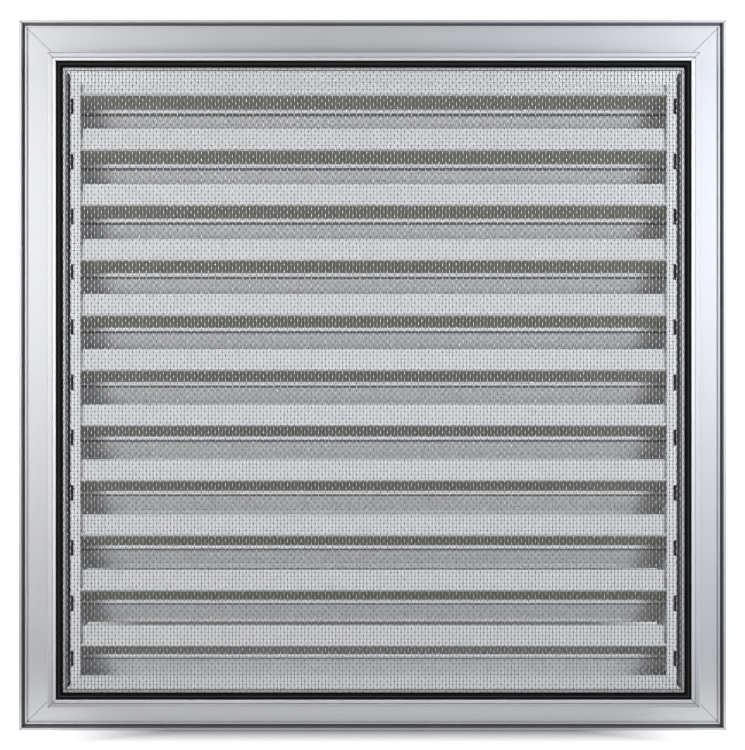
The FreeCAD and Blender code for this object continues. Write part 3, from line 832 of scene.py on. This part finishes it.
class GRILLE_OT_fit_spline(bpy.types.Operator):
    """Form the rubber spline with rounded shoulders and a rib along its middle"""

    bl_idname = "grille.fit_spline"
    bl_label = "Fit Spline"

    def execute(self, context):
        sizes = context.scene.grille_spline
        colours = context.scene.grille_colours
        width = SPLINE_HIGH[0] - SPLINE_LOW[0]
        height = SPLINE_HIGH[2] - SPLINE_LOW[2]
        depth = SPLINE_HIGH[1] - SPLINE_LOW[1]
        deselect_all()
        bpy.ops.mesh.primitive_plane_add(
            size=1, location=(0, SPLINE_HIGH[1], 0), rotation=(math.pi / 2, 0, 0)
        )
        strip = bpy.context.object
        strip.scale = (width, height, 1)
        settle(strip)
        edit(strip, "FACE")
        bpy.ops.mesh.select_all(action="SELECT")
        shoulder = sizes.shoulder
        rise = depth - sizes.rib_height
        half = SPLINE_SECTION / 2
        rib = sizes.rib_width / 2
        extrude((0, -(rise - shoulder), 0))

        # Steps across the section and rises, from the edge over the shoulder and the flat to the rib's top
        profile = [
            (0.25 * shoulder, 0.55 * shoulder),
            (0.45 * shoulder, 0.33 * shoulder),
            (0.9 * shoulder, 0.12 * shoulder),
            (half - rib - 1.6 * shoulder, -0.1 * shoulder),
            (0.12 * rib, sizes.rib_height),
            (0.4 * rib, 0.1 * shoulder),
        ]
        rest = half - sum(step for step, _ in profile)
        rises = [*profile, (2 * rest, 0.0)]
        rises += [(step, -lift) for step, lift in reversed(profile)]
        for step, lift in rises:
            bpy.ops.mesh.inset(thickness=step, depth=lift)
        extrude((0, rise - shoulder, 0))

        # The caps of the outer and the inner wall at the front come out, and a flat ring joins their rims
        bpy.ops.mesh.delete(type="FACE")
        select_where(strip, lambda centre: centre.xz.length < MM, "faces")
        bpy.ops.mesh.delete(type="FACE")
        bpy.ops.mesh.select_mode(type="EDGE")
        bpy.ops.mesh.select_all(action="DESELECT")
        bpy.ops.mesh.select_non_manifold()
        bpy.ops.mesh.bridge_edge_loops()
        leave_edit()
        bpy.ops.object.shade_smooth_by_angle(angle=math.radians(50))
        rubber = black_rubber("spline_rubber", colours.rubber)
        finish_piece(strip, "rubber_spline", rubber, ["mesh_spline"])
        return {"FINISHED"}


class GRILLE_OT_fit_screws(bpy.types.Operator):
    """Form pan head screws with a round recess and set two at each end of every blade"""

    bl_idname = "grille.fit_screws"
    bl_label = "Fit Screws"

    def execute(self, context):
        sizes = context.scene.grille_screws
        material = black_coated("screw_black", context.scene.grille_colours.screws)
        low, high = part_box("blade_screws_right")
        seat = high[0] - sizes.head_height
        rows = (
            (low[1] + SEAT_RADIUS, high[2] - SEAT_RADIUS),
            (high[1] - SEAT_RADIUS, low[2] + SEAT_RADIUS + (len(BLADES) - 1) * PITCH),
        )
        screws = [self.screw(sizes, seat, low[0], depth, height) for depth, height in rows]
        deselect_all()
        for screw in screws:
            screw.select_set(True)
        context.view_layer.objects.active = screws[0]
        bpy.ops.object.join()
        right = context.object
        array(right, len(BLADES), (0, 0, -PITCH))
        bpy.ops.object.shade_smooth_by_angle(angle=math.radians(40))
        bpy.ops.object.duplicate()
        left = context.object
        edit(left)
        bpy.ops.mesh.select_all(action="SELECT")
        bpy.ops.transform.mirror(
            orient_type="GLOBAL", constraint_axis=(True, False, False), center_override=(0.0, 0.0, 0.0)
        )
        leave_edit()
        finish_piece(right, "pan_screws_right", material, ["blade_screws_right"])
        finish_piece(left, "pan_screws_left", material, ["blade_screws_left"])
        return {"FINISHED"}

    def screw(self, sizes, seat, tip, depth, height):
        """One screw along X: shank, underside, domed head and round recess."""
        bpy.ops.mesh.primitive_circle_add(
            vertices=24, radius=sizes.shank_radius, fill_type="NGON", rotation=(0, math.pi / 2, 0),
            location=(tip, depth, height),
        )
        screw = bpy.context.object
        settle(screw)
        edit(screw, "FACE")
        bpy.ops.mesh.select_all(action="SELECT")

        # Steps along X and the scale after each: shank, underside, side and dome of the head, rim and recess
        rises = (
            (seat - tip, 1.0),
            (0.0, sizes.head_radius / sizes.shank_radius),
            (0.45 * sizes.head_height, 1.0),
            (0.3 * sizes.head_height, 0.9),
            (0.25 * sizes.head_height, 0.72),
            (0.0, 0.42),
            (-0.12 * sizes.recess, 0.8),
            (-0.88 * sizes.recess, 0.45),
        )
        for step, scale in rises:
            extrude((step, 0, 0))
            if scale != 1.0:
                bpy.ops.transform.resize(value=(1, scale, scale))
        leave_edit()
        return screw


class GRILLE_OT_finish_metal(bpy.types.Operator):
    """Give the rails, the cassette, the blades and the cleats their finishes"""

    bl_idname = "grille.finish_metal"
    bl_label = "Finish Metal"

    def execute(self, context):
        colours = context.scene.grille_colours
        groups = (
            (LEVEL_RAILS, anodised("frame_level", colours.frame, "X", shade=shade_rail)),
            (UPRIGHT_RAILS, anodised("frame_upright", colours.frame, "Z", shade=shade_rail)),
            (LEVEL_STRIPS, anodised("strip_level", colours.blades, "X", metallic=0.7)),
            (UPRIGHT_STRIPS, anodised("strip_upright", colours.blades, "Z", metallic=0.2)),
            (BLADES, anodised("blade_level", colours.blades, "X", metallic=0.15, shade=shade_blade)),
            (CLEATS, anodised("cleat_mill", colours.cleats, "X")),
        )
        for names, material in groups:
            for name in names:
                mesh = frame["nodes"][name].data
                mesh.materials.clear()
                mesh.materials.append(material)
        return {"FINISHED"}


def studio_sweep(floor_height):
    """A floor that bends up into a backdrop."""
    deselect_all()
    middle = (FLOOR_BACK - FLOOR_FRONT) / 2
    bpy.ops.mesh.primitive_plane_add(size=1, location=(0, middle, floor_height))
    ground = bpy.context.object
    ground.name = "studio_sweep"
    ground.scale = (2 * FLOOR_FRONT, FLOOR_BACK + FLOOR_FRONT, 1)
    settle(ground)
    edit(ground)
    select_where(ground, lambda place: place.y > FLOOR_BACK - MM)
    extrude((0, 0, BACKDROP_HEIGHT))
    leave_edit(recalculate=False)
    bend = ground.modifiers.new("Sweep", "BEVEL")
    bend.width = SWEEP_WIDTH
    bend.segments = SWEEP_SEGMENTS
    bpy.ops.object.modifier_apply(modifier=bend.name)
    bpy.ops.object.shade_smooth()
    return ground


def softbox(name, place, aim, size, power, colour):
    """A rectangular lamp that faces a point."""
    data = bpy.data.lights.new(name, "AREA")
    data.shape = "RECTANGLE"
    data.size, data.size_y = size
    data.energy = power
    data.color = colour
    lamp = bpy.data.objects.new(name, data)
    lamp.location = place
    lamp.rotation_euler = (Vector(aim) - Vector(place)).to_track_quat("-Z", "Y").to_euler()
    bpy.context.scene.collection.objects.link(lamp)


def photo_camera(stage):
    """A level camera at the photograph's place; returns it."""
    data = bpy.data.cameras.new("photo_camera")
    data.lens = stage.lens
    data.sensor_width = 36.0
    data.shift_x, data.shift_y = stage.shift
    data.clip_start = 0.01
    data.dof.use_dof = False
    camera = bpy.data.objects.new("photo_camera", data)
    camera.location = stage.eye
    camera.rotation_euler = (math.pi / 2, 0, 0)
    bpy.context.scene.collection.objects.link(camera)
    return camera


class GRILLE_OT_set_stage(bpy.types.Operator):
    """Lay the floor, light the grille softly and set the camera"""

    bl_idname = "grille.set_stage"
    bl_label = "Set Stage"

    def execute(self, context):
        scene = context.scene
        scene.view_settings.view_transform = "Standard"
        ground = studio_sweep(CAD_BOX[0][2] - scene.grille_stage.floor_gap)
        ground.data.materials.append(pale_ground("studio_paper", scene.grille_colours.ground))
        for lamp in LAMPS:
            softbox(*lamp)
        world = scene.world or bpy.data.worlds.new("Studio")
        scene.world = world
        world.use_nodes = True
        sky = world.node_tree.nodes["Background"]
        sky.inputs["Color"].default_value = SKY_COLOUR
        sky.inputs["Strength"].default_value = SKY_STRENGTH
        scene.camera = photo_camera(scene.grille_stage)
        return {"FINISHED"}


class GRILLE_PT_panel(bpy.types.Panel):
    """The steps that dress the grille"""

    bl_label = "Wall Vent Grille"
    bl_idname = "GRILLE_PT_panel"
    bl_space_type = "VIEW_3D"
    bl_region_type = "UI"
    bl_category = "Grille"

    def draw(self, context):
        layout = self.layout
        for operator in OPERATORS:
            layout.operator(operator.bl_idname)
        for settings in SETTINGS:
            layout.label(text=settings.replace("_", " ").title())
            group = getattr(context.scene, settings)
            for name in group.__annotations__:
                layout.prop(group, name)


OPERATORS = (
    GRILLE_OT_weave_mesh,
    GRILLE_OT_fit_spline,
    GRILLE_OT_fit_screws,
    GRILLE_OT_finish_metal,
    GRILLE_OT_set_stage,
)
SETTINGS = {
    "grille_mesh": GrilleMeshSizes,
    "grille_spline": GrilleSplineSizes,
    "grille_screws": GrilleScrewSizes,
    "grille_colours": GrilleColours,
    "grille_stage": GrilleStage,
}


def register():
    for cls in (*SETTINGS.values(), *OPERATORS, GRILLE_PT_panel):
        bpy.utils.register_class(cls)
    for name, cls in SETTINGS.items():
        setattr(bpy.types.Scene, name, bpy.props.PointerProperty(type=cls))


def unregister():
    for name in SETTINGS:
        delattr(bpy.types.Scene, name)
    for cls in (GRILLE_PT_panel, *reversed(OPERATORS), *reversed(tuple(SETTINGS.values()))):
        bpy.utils.unregister_class(cls)


def main():
    register()
    bpy.ops.grille.weave_mesh()
    bpy.ops.grille.fit_spline()
    bpy.ops.grille.fit_screws()
    bpy.ops.grille.finish_metal()
    bpy.ops.grille.set_stage()


if __name__ == "__main__":
    main()
